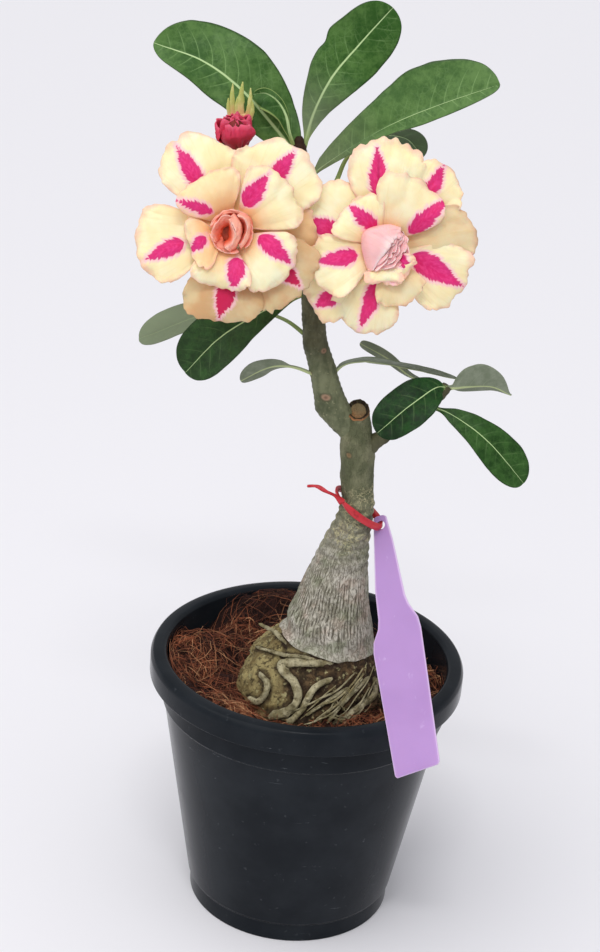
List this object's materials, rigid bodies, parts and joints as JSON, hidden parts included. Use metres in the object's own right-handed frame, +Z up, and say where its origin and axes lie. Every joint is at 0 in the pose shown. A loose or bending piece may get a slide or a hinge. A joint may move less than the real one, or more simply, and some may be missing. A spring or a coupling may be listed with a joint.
{
  "type": "potted desert rose adenium",
  "caption": "Grafted desert rose with a swollen bare-rooted stem, double blooms and glossy leaves in a round nursery pot of coir, with a label on a twist tie.",
  "frame": {"origin": "centre of the pot's flat underside", "axes": "+Z up; -Y towards the side that the blooms face; +X to the right as seen from that side"},
  "size_m": [0.1923, 0.1651, 0.47],
  "materials": {
    "pot_plastic": "glossy black, lightly scuffed",
    "coir_fibre": "matt, loose red-brown fibres",
    "bark": "matt grey-green bark, paler and finely cracked on the swollen part, mossy below",
    "leaf_green": "waxy, half glossy, with pale veins",
    "petal_cream": "soft and matt, cream with feathered magenta blotches",
    "heart_coral": "soft and matt",
    "heart_pink": "soft and matt, with pale frilled edges",
    "calyx_green": "soft, yellow-green",
    "bud_crimson": "soft and matt",
    "tip_green": "soft, yellow-green with peach feet",
    "tag_plastic": "smooth lilac plastic",
    "tie_red": "red coated wire"
  },
  "bodies": {
    "root": {"pot": "pot_plastic", "coir": "coir_fibre", "caudex_and_stems": "bark", "leaf_crown_left": "leaf_green", "leaf_crown_middle": "leaf_green", "leaf_crown_right": "leaf_green", "leaf_crown_young": "leaf_green", "leaf_stalk_right": "leaf_green", "leaf_under_left": "leaf_green", "leaf_left_back": "leaf_green", "leaf_left_small": "leaf_green", "leaf_right_long": "leaf_green", "leaf_under_right": "leaf_green", "leaf_twig_front": "leaf_green", "leaf_twig_hanging": "leaf_green", "leaf_twig_right": "leaf_green", "leaf_twig_back": "leaf_green", "bloom_left_petals": "petal_cream", "bloom_left_heart": "heart_coral", "bloom_left_calyx": "calyx_green", "bloom_right_petals": "petal_cream", "bloom_right_heart": "heart_pink", "bloom_right_calyx": "calyx_green", "bud": "bud_crimson", "bud_tips": "tip_green", "plant_tag": "tag_plastic", "twist_tie": "tie_red"}
  },
  "joints": []
}
